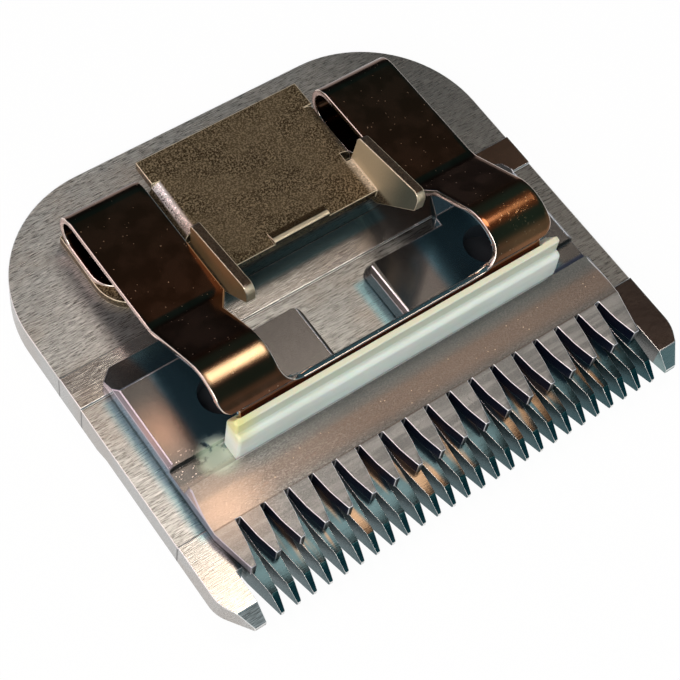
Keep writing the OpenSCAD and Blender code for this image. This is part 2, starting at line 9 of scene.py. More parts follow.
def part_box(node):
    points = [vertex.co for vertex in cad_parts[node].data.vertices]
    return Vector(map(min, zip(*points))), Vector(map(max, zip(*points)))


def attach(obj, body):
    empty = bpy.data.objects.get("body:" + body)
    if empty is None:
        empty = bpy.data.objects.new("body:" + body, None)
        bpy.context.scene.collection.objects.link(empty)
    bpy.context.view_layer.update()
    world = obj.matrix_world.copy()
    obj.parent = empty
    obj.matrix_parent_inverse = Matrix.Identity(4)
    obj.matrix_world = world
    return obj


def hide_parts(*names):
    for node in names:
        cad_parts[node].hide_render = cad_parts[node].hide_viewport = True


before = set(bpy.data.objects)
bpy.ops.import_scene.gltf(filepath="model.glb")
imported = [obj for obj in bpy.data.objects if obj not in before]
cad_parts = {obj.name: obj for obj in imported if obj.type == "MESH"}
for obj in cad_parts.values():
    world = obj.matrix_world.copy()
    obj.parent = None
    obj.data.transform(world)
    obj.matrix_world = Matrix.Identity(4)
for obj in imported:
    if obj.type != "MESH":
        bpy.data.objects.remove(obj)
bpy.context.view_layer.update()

# Camera: stands 16 cm off, over the front left corner, and looks down at the upper side. The long
# lens keeps the row of teeth nearly parallel.
camera = bpy.data.objects.new("camera", bpy.data.cameras.new("camera"))
bpy.context.scene.collection.objects.link(camera)
camera.data.lens = 94.671
camera.data.sensor_width = 36
camera.data.clip_start = 0.01
camera.matrix_world = Matrix((
    (0.808975, 0.460757, -0.365052, -0.0588093),
    (-0.577911, 0.737041, -0.350413, -0.0591632),
    (0.107603, 0.494443, 0.862524, 0.1377438),
    (0, 0, 0, 1)))
bpy.context.scene.camera = camera

# Comb: the fixed lower blade, a hardened steel plate 3.4 mm thick. It is blanked and slit, its
# tips are bevelled above and below, and last the rail and the land are lapped flat and bright,
# while the ground hollow between them and the rear seat keep a coarser, streaked face.
comb_top = 3.4
comb_belly = 0.55  # height of the teeth's underside
comb_teeth = 26
comb_pitch = 1.6
comb_root_y = -13.875
comb_tip_y = -22.175
comb_break_mm = 0.07
tooth_half = 0.68
tooth_break_mm = 0.03
slit_edge_x = comb_teeth * comb_pitch / 2
ear_x = 21.3  # the comb's end slits stop here
ear_edge_x = 22


class Signal:
    """The output of a node, ready for sums."""

    def __init__(self, finish, socket):
        self.finish = finish
        self.socket = socket

    def math(self, operation, *values, clamp=False):
        return self.finish.node("ShaderNodeMath", {"operation": operation, "use_clamp": clamp},
                                dict(enumerate(values)))

    def __add__(self, other):
        return self.math("ADD", self, other)

    __radd__ = __add__

    def __sub__(self, other):
        return self.math("SUBTRACT", self, other)

    def __rsub__(self, other):
        return self.math("SUBTRACT", other, self)

    def __mul__(self, other):
        return self.math("MULTIPLY", self, other)

    __rmul__ = __mul__

    def __abs__(self):
        return self.math("ABSOLUTE", self)

    def most(self, other):
        return self.math("MAXIMUM", self, other)

    def clamped(self):
        return self.math("ADD", self, 0, clamp=True)

    def rise(self, low, high):
        """0 below low, 1 above high, smooth between."""
        return self.finish.node("ShaderNodeMapRange", {"interpolation_type": "SMOOTHSTEP"},
                                {"Value": self, "From Min": low, "From Max": high})

    def band(self, low, high, soft):
        """1 between low and high, with edges of that softness."""
        return self.rise(low - soft, low + soft) * (1 - self.rise(high - soft, high + soft))


class Tree:
    """A node tree that is filled from Python."""

    def __init__(self, tree):
        self.tree = tree

    def node(self, kind, settings=None, inputs=None, output=0):
        """Adds a node: its settings first, then the values or links of its sockets."""
        made = self.tree.nodes.new(kind)
        for name, value in (settings or {}).items():
            setattr(made, name, value)
        for name, value in (inputs or {}).items():
            if isinstance(value, Signal):
                self.tree.links.new(value.socket, made.inputs[name])
            elif value is not None:
                made.inputs[name].default_value = value
        return Signal(self, made.outputs[output] if made.outputs else None)

    def parts(self, vector):
        """The x, y and z of a vector."""
        return [self.node("ShaderNodeSeparateXYZ", {}, {0: vector}, axis) for axis in range(3)]

    def colours(self, share, first, second):
        """first where share is 0, second where it is 1."""
        sockets = {0: share}
        for at, colour in ((6, first), (7, second)):  # the Mix node's sockets for colours
            sockets[at] = colour if isinstance(colour, Signal) else (*colour, 1)
        return self.node("ShaderNodeMix", {"data_type": "RGBA"}, sockets, 2)

    def layered(self, colour, *layers):
        """Lays further colours over a colour, one after the other. A layer is (share, colour)."""
        for share, over in layers:
            colour = self.colours(share, colour, over)
        return colour


class Finish(Tree):
    """A material whose pattern lies on the piece's own millimetres."""

    def __init__(self, name, **fixed):
        self.material = bpy.data.materials.new(name)
        self.material.use_nodes = True
        super().__init__(self.material.node_tree)
        self.shader = self.tree.nodes["Principled BSDF"]
        for socket, value in fixed.items():
            self.shader.inputs[socket.replace("_", " ")].default_value = value
        self.mm = self.node("ShaderNodeVectorMath", {"operation": "SCALE"}, {
            0: self.node("ShaderNodeTexCoord", {}, {}, "Object"), "Scale": 1000})
        self.x, self.y, self.z = self.parts(self.mm)

    def facing(self):
        """How far the surface faces along x, y and z."""
        return self.parts(self.node("ShaderNodeNewGeometry", {}, {}, "Normal"))

    def noise(self, size, detail, rough, stretch=(1, 1, 1), shift=0):
        """Noise with blots of about size millimetres, drawn out by stretch; 0.5 on average."""
        place = self.node("ShaderNodeMapping", {}, {
            "Vector": self.mm, "Location": (shift, shift, shift),
            "Scale": tuple(1 / (size * s) for s in stretch)})
        return self.node("ShaderNodeTexNoise", {}, {
            "Vector": place, "Scale": 1, "Detail": detail, "Roughness": rough})

    def specks(self, size, radius, share, shift=0):
        """Round specks, one in some of the cells of that size in millimetres."""
        place = self.node("ShaderNodeMapping", {}, {
            "Vector": self.mm, "Location": (shift, shift, shift), "Scale": (1 / size,) * 3})
        cell = {"Vector": place, "Scale": 1}
        distance = self.node("ShaderNodeTexVoronoi", {}, cell, "Distance")
        lot = self.node("ShaderNodeSeparateColor", {}, {
            0: self.node("ShaderNodeTexVoronoi", {}, cell, "Color")})
        return (1 - distance.rise(radius * 0.6, radius)) * lot.rise(1 - share, 1 - share + 0.02)

    def near(self, place, radius):
        """1 at a place in millimetres, falling to 0 at that radius."""
        distance = self.node("ShaderNodeVectorMath", {"operation": "DISTANCE"},
                             {0: self.mm, 1: place}, "Value")
        return 1 - distance.rise(0, radius)

    def worn(self):
        """1 on the broken edges of a dressed piece."""
        return self.node("ShaderNodeAttribute", {"attribute_name": "edge"}, {}, "Fac")

    def wears(self, colour, rough, bumps, metal=None):
        """Links what varies over the surface. A bump is (height, depth in millimetres)."""
        for socket, value in (("Base Color", colour), ("Roughness", rough), ("Metallic", metal)):
            if value is not None:
                self.tree.links.new(value.socket, self.shader.inputs[socket])
        normal = None
        for height, depth in bumps:
            normal = self.node("ShaderNodeBump", {}, {
                "Height": height, "Distance": depth / 1000, "Strength": 1, "Normal": normal})
        self.tree.links.new(normal.socket, self.shader.inputs["Normal"])


def merged(node):
    """A copy of a CAD node's mesh in bmesh, with its loose triangles joined."""
    bm = bmesh.new()
    bm.from_mesh(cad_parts[node].data)
    bmesh.ops.remove_doubles(bm, verts=bm.verts, dist=8e-6)
    return bm


def flat_faced(bm):
    """Makes each flat of the mesh one face."""
    bmesh.ops.dissolve_limit(bm, angle_limit=math.radians(0.5), verts=bm.verts, edges=bm.edges,
                             delimit={"NORMAL"})
    return bm


def placed(name, mesh):
    """An object at the origin with that mesh."""
    piece = bpy.data.objects.new(name, mesh)
    bpy.context.scene.collection.objects.link(piece)
    return piece


def settled(piece):
    """Applies a piece's modifiers."""
    graph = bpy.context.evaluated_depsgraph_get()
    mesh = bpy.data.meshes.new_from_object(piece.evaluated_get(graph),
                                           preserve_all_data_layers=True, depsgraph=graph)
    piece.modifiers.clear()
    piece.data = mesh


def started(name, bm):
    """A piece with the mesh, and a second slot for the faces of its broken edges."""
    mesh = bpy.data.meshes.new(name)
    bm.to_mesh(mesh)
    bm.free()
    mesh.materials.append(None)
    mesh.materials.append(None)
    return placed(name, mesh)


def bevelled(piece, method, width_mm):
    """Breaks a piece's edges with faces of its second slot."""
    bevel = piece.modifiers.new("break", "BEVEL")
    bevel.limit_method = method
    bevel.width = width_mm / 1000
    bevel.segments = 2
    bevel.use_clamp_overlap = False
    bevel.material = 1
    return bevel


def smoothed(piece):
    """Marks the second slot's faces as edge and shades the piece smooth between its corners."""
    mesh = piece.data
    count = len(mesh.polygons)
    index = np.zeros(count, dtype=np.int32)
    mesh.polygons.foreach_get("material_index", index)
    edge = mesh.attributes.new("edge", "FLOAT", "FACE")
    edge.data.foreach_set("value", index.astype(np.float32))
    mesh.polygons.foreach_set("material_index", np.zeros(count, dtype=np.int32))
    mesh.materials.clear()
    mesh.polygons.foreach_set("use_smooth", np.ones(count, dtype=bool))
    bm = bmesh.new()
    bm.from_mesh(mesh)
    corner = math.radians(52)
    for side in bm.edges:
        side.smooth = len(side.link_faces) == 2 and side.calc_face_angle(0) < corner
    bm.to_mesh(mesh)
    bm.free()
    return piece


def dressed(name, bm, break_mm):
    """A piece whose corners are broken, by break_mm or a function of place, and marked as worn."""
    weight = bm.edges.layers.float.new("bevel_weight_edge")
    widest = 0.6
    for edge in bm.edges:
        if len(edge.link_faces) == 2 and edge.calc_face_angle(0) > math.radians(30):
            middle_mm = (edge.verts[0].co + edge.verts[1].co) / 2 * 1000
            wide = break_mm(*middle_mm) if callable(break_mm) else break_mm
            edge[weight] = wide / widest
    piece = started(name, bm)
    bevelled(piece, "WEIGHT", widest)
    settled(piece)
    return smoothed(piece)


def weigh(piece):
    """Keeps the shading of flats flat beside their broken edges."""
    piece.modifiers.new("flats", "WEIGHTED_NORMAL").keep_sharp = True


def row_tree():
    """Geometry Nodes: one shape set out in a row and joined to the body it stands on."""
    group = bpy.data.node_groups.new("row_along_the_blade", "GeometryNodeTree")
    sockets = {}
    for label, kind in (("Body", "Geometry"), ("Shape", "Object"), ("Count", "Int"),
                        ("First", "Vector"), ("Pitch", "Vector"), ("Material", "Material")):
        sockets[label] = group.interface.new_socket(
            label, in_out="INPUT", socket_type="NodeSocket" + kind).identifier
    group.interface.new_socket("Body", in_out="OUTPUT", socket_type="NodeSocketGeometry")
    row = Tree(group)
    given = group.nodes.new("NodeGroupInput")
    takes = {label: Signal(row, given.outputs[label]) for label in sockets}
    shape = row.node("GeometryNodeObjectInfo", {}, {"Object": takes["Shape"]}, "Geometry")
    places = row.node("GeometryNodeMeshLine", {}, {
        "Count": takes["Count"], "Start Location": takes["First"], "Offset": takes["Pitch"]})
    copies = row.node("GeometryNodeInstanceOnPoints", {}, {"Points": places, "Instance": shape})
    joined = group.nodes.new("GeometryNodeJoinGeometry")
    for part in (takes["Body"], row.node("GeometryNodeRealizeInstances", {}, {0: copies})):
        group.links.new(part.socket, joined.inputs[0])
    whole = row.node("GeometryNodeRealizeInstances", {}, {0: Signal(row, joined.outputs[0])})
    whole = row.node("GeometryNodeSetMaterial", {}, {0: whole, "Material": takes["Material"]})
    row.node("NodeGroupOutput", {}, {0: whole})
    return group, sockets


row_group, row_sockets = row_tree()


def set_out(piece, shape, count, first_x, pitch, material):
    """Sets the shape out along the piece's X, makes that its plain mesh and drops the shape."""
    made = piece.modifiers.new("row", "NODES")
    made.node_group = row_group
    for label, value in (("Shape", shape), ("Count", count), ("First", (first_x / 1000, 0.0, 0.0)),
                         ("Pitch", (pitch / 1000, 0.0, 0.0)), ("Material", material)):
        made[row_sockets[label]] = value
    settled(piece)
    bpy.data.objects.remove(shape)


def comb_tooth():
    """One comb tooth at x = 0: straight at its root, drawn to a point, bevelled above and below."""
    stations = [  # y, half width, top, underside
        (comb_root_y, tooth_half, comb_top, comb_belly),
        (comb_tip_y + 4.6, tooth_half, comb_top, comb_belly),
        (comb_tip_y + 4, 0.616, comb_top, comb_belly),
        (comb_tip_y + 1.5, 0.35, comb_top, 1.206),
        (comb_tip_y + 0.06, 0.196, 2.152, 1.584),
        (comb_tip_y, 0.16, 2.08, 1.62)]
    bm = bmesh.new()
    rings = []
    for y, half, top, low in stations:
        wide, upper, lower = half - tooth_break_mm, top - tooth_break_mm, low + tooth_break_mm
        ring = [(wide, top), (half, upper), (half, lower), (wide, low),
                (-wide, low), (-half, lower), (-half, upper), (-wide, top)]
        rings.append([bm.verts.new((x / 1000, y / 1000, z / 1000)) for x, z in ring])
    for behind, ahead in zip(rings, rings[1:]):
        for k in range(8):
            face = bm.faces.new((behind[k], ahead[k], ahead[k - 7], behind[k - 7]))
            face.material_index = 1 - k % 2  # each second side is a broken edge
    bm.faces.new(rings[0])
    bm.faces.new(rings[-1][::-1]).material_index = 1
    bmesh.ops.recalc_face_normals(bm, faces=bm.faces)
    return smoothed(started("comb_tooth", bm))


def comb_body():
    """The comb's mesh without the teeth between the ears, closed along their roots."""
    bm = merged("comb")
    root = comb_root_y / 1000
    bmesh.ops.bisect_plane(bm, geom=bm.verts[:] + bm.edges[:] + bm.faces[:], dist=1e-6,
                           plane_co=(0, root, 0), plane_no=(0, 1, 0))
    teeth = [face for face in bm.faces
             if face.calc_center_median().y < root - 2e-6
             and abs(face.calc_center_median().x) * 1000 < slit_edge_x]
    bmesh.ops.delete(bm, geom=teeth, context="FACES")
    open_edges = [edge for edge in bm.edges if len(edge.link_faces) == 1]
    bmesh.ops.holes_fill(bm, edges=open_edges, sides=0)
    return flat_faced(bm)


def comb_break(x, y, z):
    """Millimetres broken off the comb's corners: less at the tips, none where the teeth stand."""
    if abs(y - comb_root_y) < 0.01 and abs(x) < slit_edge_x:
        return 0
    return comb_break_mm / 2 if y < comb_root_y and abs(x) < ear_edge_x else comb_break_mm


comb_piece = dressed("comb_plate", comb_body(), comb_break)
steel = Finish("comb_steel")
grind = steel.noise(0.085, 4, 0.6, (12, 1, 1)).rise(0.3, 0.7)
scores = steel.noise(0.06, 2, 0.5, (25, 1, 1))
pits = steel.noise(0.11, 2, 0.5, (6, 1, 1), shift=5).rise(0.62, 0.72)
stain = steel.noise(6, 3, 0.55, (1.6, 1, 1)).rise(0.42, 0.66)
lapped = steel.z.rise(comb_top - 0.1, comb_top - 0.04)
hollow = 1 - lapped
far_side = steel.x.rise(-4, 19)
left_land = (-20 - steel.x).rise(0, 1) * (-13 - steel.y).rise(0, 1)
among_teeth = (comb_root_y - steel.y).rise(0, 0.5) * (1 - abs(steel.x).rise(ear_x, ear_x + 0.3))
# Painted reflection: a teal-grey sheen on the right ear's bevel near the tip.
ear_tip_sheen = ((comb_tip_y + 1.6 - steel.y).rise(0, 0.1) * steel.x.rise(ear_x - 0.1, ear_x + 0.2)
           * hollow)
# Painted teal shade: spots beside the cutter's left wall, left of the right tab and under the
# socket's plate.
teal_shade_spots = [  # across and along the blade: from, to, softness
    ((-22.5, -21.4, 0.5), (-14, 1.2, 0.6)), ((2.4, 4, 0.4), (-8, -0.6, 0.4)),
    ((-9, 9, 0.5), (3.6, 6, 0.3))]
teal_shade = sum(steel.x.band(*across) * steel.y.band(*along) for across, along in teal_shade_spots)
# Painted shade: dark lines along the steps of the rail and the land.
step_shade_lines = [(1.4, 1.6), (5.0, 5.18), (-13.4, -13.2)]  # both edges of the rail, then the land's
step_shade = sum(steel.y.band(*line, 0.06) for line in step_shade_lines)
# Painted contact shadow: a dark line on the comb along the cutter's side walls.
cutter_contact_shadow = abs(steel.x).band(20.6, 21.55, 0.08) * steel.y.band(-13.4, 1.4, 0.2)
# Painted shade: the comb is made black, rough and dull under the spring's leg holes.
shade_under_holes = abs(steel.x).band(11.6, 17, 0.2) * steel.y.band(-6.4, -1.2, 0.2)
# The ground hollow is streaked and pitted, and painted darker to the right as painted shade where
# the lamp's reflection falls off.
ground = steel.layered(
    steel.colours(grind, (0.18, 0.177, 0.168), (0.66, 0.65, 0.63)),
    (0.48 * steel.x.rise(-17, 2), (0.1, 0.105, 0.1)),
    (0.55 * steel.x.rise(10, 22), (0.06, 0.058, 0.054)),
    (0.9 * pits, (0.05, 0.045, 0.04)))
# The lapped rail and land are brighter, with a painted brown-black reflection at the far side, and
# scored at the left ear.
bright = steel.layered(
    steel.colours(grind, (0.3, 0.29, 0.275), (0.56, 0.545, 0.525)),
    (0.97 * far_side,
     steel.colours(steel.y.rise(-8, -4), (0.032, 0.02, 0.016), (0.09, 0.05, 0.03))),
    (0.6 * (1 - grind) * left_land, (0.2, 0.19, 0.17)))
# Between the teeth, the flanks are painted dark-teal shade and the tooth tops are painted in bands
# of orange-brown reflection and dark-teal shade.
teeth_sheen_and_shade = steel.colours(steel.noise(1.3, 2, 0.5, (1, 9, 1)).rise(0.37, 0.47),
                       (0.14, 0.088, 0.05), (0.018, 0.045, 0.055))
# Over both: stain, then painted light, namely painted teal shade, painted shade at the steps, a
# painted contact shadow along the cutter, the teeth's painted reflection and shade, a painted sheen
# on the right ear's tip and painted black shade under the leg holes; last the worn edges.
steel.wears(
    colour=steel.layered(
        steel.colours(lapped, ground, bright),
        (0.3 * stain * (1 - 0.85 * far_side), (0.36, 0.28, 0.22)),
        (0.7 * teal_shade.clamped() * (1 - steel.x.rise(19, 21)), (0.15, 0.33, 0.38)),
        (0.85 * step_shade.clamped() * hollow, (0.035, 0.03, 0.027)),
        (0.95 * cutter_contact_shadow * hollow, (0.012, 0.016, 0.025)),
        (0.97 * among_teeth, steel.colours(lapped, (0.0, 0.05, 0.062), teeth_sheen_and_shade)),
        (0.8 * ear_tip_sheen, (0.2, 0.3, 0.3)),
        (0.97 * shade_under_holes, (0.012, 0.016, 0.024)),
        (steel.worn(), (0.8, 0.78, 0.76))),
    rough=0.3 - 0.1 * lapped + 0.08 * (grind - 0.5) + 0.6 * shade_under_holes,
    metal=0.86 * (1 - shade_under_holes),
    bumps=[(scores, 0.006), (grind * hollow, 0.004)])
comb_piece.data.materials.append(steel.material)
set_out(comb_piece, comb_tooth(), comb_teeth, -(comb_teeth - 1) * comb_pitch / 2, comb_pitch,
        steel.material)
weigh(comb_piece)
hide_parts("comb")
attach(comb_piece, "blade_base")

# Cutter: the sliding upper blade, ground from one block. It is thick and hollow-ground in front,
# with coarse teeth, thin and stepped behind, where the clipper's lever works in the slot between
# its two legs, and has a groove right across for the spring's guide.
cutter_tooth_y = -14.3
cutter_side_x = 20.4
groove_front, groove_rear = [1000 * corner[1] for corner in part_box("blade_guide")]
leg_holes = [(-14.3, -4.08), (14.1, -4.08)]
leg_hole_clear = 2.4
cutter_rest_x = -0.1
slot_mouth_x, slot_mouth_y, slot_mouth_z = (3.6, 5.2), (-1.5, -0.3), 4.9
cutter_break_mm, cutter_tooth_break_mm = 0.08, 0.06


def cutter_break(x, y, z):
    """Millimetres broken off the cutter's corners: none at its holes and its slot's mouth."""
    at_hole = min(math.dist((x, y), hole) for hole in leg_holes) < leg_hole_clear
    at_mouth = (slot_mouth_x[0] < abs(x - cutter_rest_x) < slot_mouth_x[1]
                and slot_mouth_y[0] < y < slot_mouth_y[1] and z > slot_mouth_z)
    if at_mouth or at_hole:
        return 0
    return cutter_tooth_break_mm if y < cutter_tooth_y else cutter_break_mm


cutter_piece = dressed("cutter_blade", flat_faced(merged("cutter")), cutter_break)
honed = Finish("cutter_steel")
facing_x, _, facing_z = honed.facing()
grain = honed.noise(0.1, 4, 0.65, (2.2, 1, 1)).rise(0.34, 0.66)
sweep = honed.noise(0.5, 3, 0.5, (12, 1, 1)).rise(0.4, 0.62)
rear = honed.y.rise(-9.6, -9.2)
nose_sheen_band = honed.y.band(-13.7, -11.4, 0.7)
in_groove = honed.y.band(groove_front, groove_rear - 0.6, 0.15)
tooth_tops = (cutter_tooth_y - honed.y).rise(-0.05, 0.1)
root_shade = honed.y.band(cutter_tooth_y - 0.02, cutter_tooth_y + 0.1, 0.05)
# The cutter's nose: grinding marks, painted darker to the right as painted shade, a warm band of
# painted reflection with painted bright specks, a painted highlight at the left corner, painted
# grey-teal shade beside the guide, painted navy shadow in the groove beyond the guide's right end,
# tooth tops, and a painted dark line of shade along the tooth roots.
nose = honed.layered(
    honed.colours(grain, (0.12, 0.115, 0.11), (0.4, 0.385, 0.365)),
    (0.4 * sweep, (0.22, 0.2, 0.18)),
    (0.7 * honed.x.rise(-19, -4), (0.05, 0.051, 0.051)),
    (0.3 * nose_sheen_band, (0.3, 0.18, 0.12)),
    (0.7 * honed.near((-20, -13.2, 5), 6), (0.8, 0.56, 0.42)),
    (0.3 * honed.y.band(-11.6, -9.5, 0.3), (0.13, 0.15, 0.15)),
    (0.9 * honed.x.rise(17, 18) * in_groove, (0.015, 0.022, 0.05)),
    (0.7 * honed.specks(0.32, 0.2, 0.12) * nose_sheen_band, (0.8, 0.62, 0.45)),
    (0.5 * tooth_tops, honed.colours(sweep, (0.2, 0.2, 0.2), (0.36, 0.355, 0.35))),
    (0.6 * root_shade, (0.07, 0.045, 0.035)))
# The two legs and the rear step are finer and darker, with a painted brown highlight at the left
# corner.
block = honed.layered(
    honed.colours(grain, (0.1, 0.094, 0.09), (0.15, 0.142, 0.136)),
    (0.75 * honed.near((-20.6, -4.5, 5.3), 4.2), (0.42, 0.27, 0.2)))
# Painted blue-black shadow by the spring's legs, painted dark shade on the tooth flanks, bare end
# walls with painted shadow at their foot, grease by the guide, painted bright specks by the left
# tab, and painted black shade in the leg holes.
# Painted shadow: blue-black on the rear step under the spring's legs.
shaded = honed.x.band(8.6, 19, 0.6) + honed.x.band(-18.4, -11.4, 0.5)
# Painted shade: the tooth flanks are made dark navy.
flank = abs(facing_x).rise(0.5, 0.8) * (cutter_tooth_y + 0.3 - honed.y).rise(0, 0.3)
wall = (abs(facing_x).rise(0.6, 0.9)
        * abs(honed.x).rise(cutter_side_x, cutter_side_x + 0.4))
# Painted contact shadow: the foot of the end walls is made near black.
wall_contact_shadow = wall * (1 - honed.z.rise(3.75, 3.95))
lumps = honed.noise(1.1, 3, 0.6).rise(0.15, 0.5)
grease = (honed.near((-17.6, -8.9, 5), 3) * lumps).rise(0.1, 0.7)
# Painted highlight: bright specks by the front of the left tab.
painted_glints = honed.specks(0.22, 0.26, 0.55, 3) * honed.near((-20.3, -8.4, 5.6), 2.4).rise(0, 0.5)
hole_rims = sum(honed.near((*hole, 5.4), 3) for hole in leg_holes).rise(0, 0.2)
# Painted shade: the leg holes' walls are made black, rough and dull.
hole_shade = (sum(honed.near((*hole, 5), 4.5) for hole in leg_holes).rise(0.2, 0.4)
           * (1 - facing_z.rise(0.9, 0.99)))
groove_end = (honed.y.band(groove_front - 0.3, groove_rear + 0.3, 0.1)
              * abs(honed.x).rise(16, 17))
bare_edge = (honed.worn() * (1 - hole_rims) * (1 - groove_end)).clamped()
edge_colour = honed.colours((-19 - honed.x).rise(0, 1), (0.88, 0.83, 0.85), (0.5, 0.46, 0.5))
honed.wears(
    colour=honed.layered(
        honed.colours(rear, nose, block),
        (0.8 * rear * shaded, (0.06, 0.17, 0.23)),
        (0.95 * flank, (0.012, 0.018, 0.062)),
        (wall, (0.33, 0.32, 0.37)),
        (wall_contact_shadow, (0.006, 0.01, 0.02)),
        (0.8 * grease, (0.62, 0.68, 0.52)),
        (0.8 * painted_glints, (0.95, 0.85, 0.8)),
        (hole_shade, (0.012, 0.02, 0.03)),
        (bare_edge, edge_colour)),
    rough=0.34 - 0.1 * rear + 0.06 * (grain - 0.5) + 0.6 * hole_shade,
    metal=(0.88 - 0.8 * grease) * (1 - hole_shade),
    bumps=[(grain * (1 - 0.85 * rear), 0.008), (grease, 0.03)])
cutter_piece.data.materials.append(honed.material)
weigh(cutter_piece)
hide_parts("cutter")
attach(cutter_piece, "cutter_body")

# Tension spring: one strip of blued spring steel, 0.6 mm thick. It is blanked with its window,
# folded back over itself at both legs, humped over the guide and turned down into it; the feet are
# clamped under the socket's flanges by the screws.
spring_t = 0.6
spring_half = 17.2
foot_y, foot_z, foot_run = 9.325, 4.35, 5.3
foot_round = 2.4
foot_clip = 1.4
loop_r, dip_r, hump_r = 1.9, 2.8, 3.5  # of the strip's middle line
hump_y, hump_z = -5.085, 8.85
bar_end_z = 5.4
bar_half = 15.7
neck_z = 10.4
shoulder_r = 1.1
shoulder_angle = 60
leg_slope, hump_slope = 2, 30
window_angle = 22  # of the window's front edge, above level ahead on the hump
window_half, window_rear_half, window_round = 11.2, 9.73, 2
window_step_y = 0.315
rim = 0.4
leg_cells, rim_cells, bar_cells = 10, 3, 8  # across the strip
straight_steps, bend_steps = 40, 64
spring_break_mm = 0.09


def spring_path():
    """The strip's middle line from the side: length, y, z and heading; and each bend's start."""
    slope, climb = math.radians(leg_slope), math.radians(hump_slope)
    start_y = foot_y + foot_run + loop_r * math.sin(slope)
    start_z = foot_z + loop_r + loop_r * math.cos(slope)
    ahead = (start_y - (hump_y - hump_r) - dip_r * (math.sin(climb) - math.sin(slope))
             - hump_r * (math.sin(climb) + 1))
    up = (hump_z - start_z - dip_r * (math.cos(slope) - math.cos(climb))
          + hump_r * math.cos(climb))
    spread = math.sin(climb - slope)
    level_run = (ahead * math.sin(climb) - up * math.cos(climb)) / spread
    climb_run = (up * math.cos(slope) - ahead * math.sin(slope)) / spread
    steps = [(foot_run, math.pi - slope, loop_r), (level_run, slope - climb, dip_r),
             (climb_run, math.pi / 2 + climb, hump_r), (hump_z - bar_end_z, 0, 1)]
    points = [(0.0, foot_y, foot_z, 0.0)]
    bends = []
    for run, turn, radius in steps:
        s, y, z, heading = points[-1]
        for k in range(1, straight_steps + 1):
            t = run * k / straight_steps
            points.append((s + t, y + t * math.cos(heading), z + t * math.sin(heading), heading))
        s, y, z, heading = points[-1]
        bends.append(s)
        if turn:
            side = 1 if turn > 0 else -1
            cy = y - side * radius * math.sin(heading)
            cz = z + side * radius * math.cos(heading)
            for k in range(1, bend_steps + 1):
                a = heading + turn * k / bend_steps
                points.append((s + radius * abs(turn) * k / bend_steps,
                               cy + side * radius * math.sin(a),
                               cz - side * radius * math.cos(a), a))
    return np.array(points), bends


path, (loop_s, dip_s, hump_s, end_s) = spring_path()


def path_point(s):
    """The middle line's y and z at a length along the strip."""
    return [float(np.interp(s, path[:, 0], path[:, axis])) for axis in (1, 2)]


def on_hump(angle):
    """Length along the strip at an angle above level ahead, on the hump."""
    return hump_s + hump_r * math.radians(90 + hump_slope - angle)


def at_height(z):
    """Length along the strip at a height on the hump's front."""
    return on_hump(math.degrees(math.asin((z - hump_z) / hump_r)))


front_s = on_hump(window_angle)
neck_s = at_height(neck_z)


def inner(s):
    """Half width of the window between the legs."""
    if s >= front_s - 1e-9:
        return window_half - window_round
    if s > hump_s:
        level = hump_r * math.sin((front_s - s) / hump_r)
        if level < window_round:
            return (window_half - window_round
                    + math.sqrt(window_round ** 2 - (window_round - level) ** 2))
    narrowed = min(max((path_point(s)[0] - window_step_y) / 2, 0), 1)
    return (window_half + (window_rear_half - window_half) * narrowed
            + max(0, foot_clip - s))


def outer(s):
    """Half width of the strip: rounded at the feet and at the shoulders, necked at the bar."""
    if s < foot_round:
        return (spring_half - foot_round
                + math.sqrt(foot_round ** 2 - (foot_round - s) ** 2))
    if s > on_hump(shoulder_angle):
        z = path_point(s)[1]
        if z < neck_z:
            return bar_half
        if z < neck_z + shoulder_r:
            return (spring_half - shoulder_r
                    + math.sqrt(shoulder_r ** 2 - (neck_z + shoulder_r - z) ** 2))
    return spring_half


rows = {round(front_s, 5), round(neck_s, 5)}
rows.update(round(foot_round * (1 - math.cos(math.radians(a))), 5) for a in range(0, 91, 10))
rows.update(round(at_height(neck_z + shoulder_r * (1 - math.cos(math.radians(a)))), 5)
            for a in range(0, 91, 10))
rows.update(
    round(front_s - hump_r * math.asin(window_round * (1 - math.sin(math.radians(a))) / hump_r), 5)
    for a in range(0, 91, 9))
loop_end = loop_s + loop_r * math.radians(180 - leg_slope)
dip_end = dip_s + dip_r * math.radians(hump_slope - leg_slope)
for first, last, count in ((foot_round, foot_run, 4), (loop_s, loop_end, 32),
                           (loop_end, dip_s, 12), (dip_s, dip_end, 10), (dip_end, hump_s, 8),
                           (hump_s, on_hump(0), 60), (on_hump(0), end_s, 8)):
    rows.update(np.round(np.linspace(first, last, count), 5))
rows = sorted(rows)
rows = [r for k, r in enumerate(rows) if k == 0 or r - rows[k - 1] > 1e-4]

bm = bmesh.new()
known = {}


def strip_point(x, s):
    """The strip's vertex at that x and length along it, made once."""
    key = (round(x, 4), round(s, 5))
    if key not in known:
        y, z = path_point(s)
        known[key] = bm.verts.new((x / 1000, y / 1000, z / 1000))
    return known[key]


def cells(low_a, high_a, s_a, low_b, high_b, s_b, count):
    """Fills the strip between two rows with cells, from low to high, on both sides of it."""
    for k in range(count):
        xs = [low_a + (high_a - low_a) * t / count for t in (k, k + 1)]
        ys = [low_b + (high_b - low_b) * t / count for t in (k, k + 1)]
        for side in (1, -1):
            corners = [strip_point(side * xs[0], s_a), strip_point(side * xs[1], s_a),
                       strip_point(side * ys[1], s_b), strip_point(side * ys[0], s_b)]
            corners = [c for i, c in enumerate(corners) if c not in corners[:i]]
            if len(corners) > 2:
                bm.faces.new(corners if side > 0 else corners[::-1])


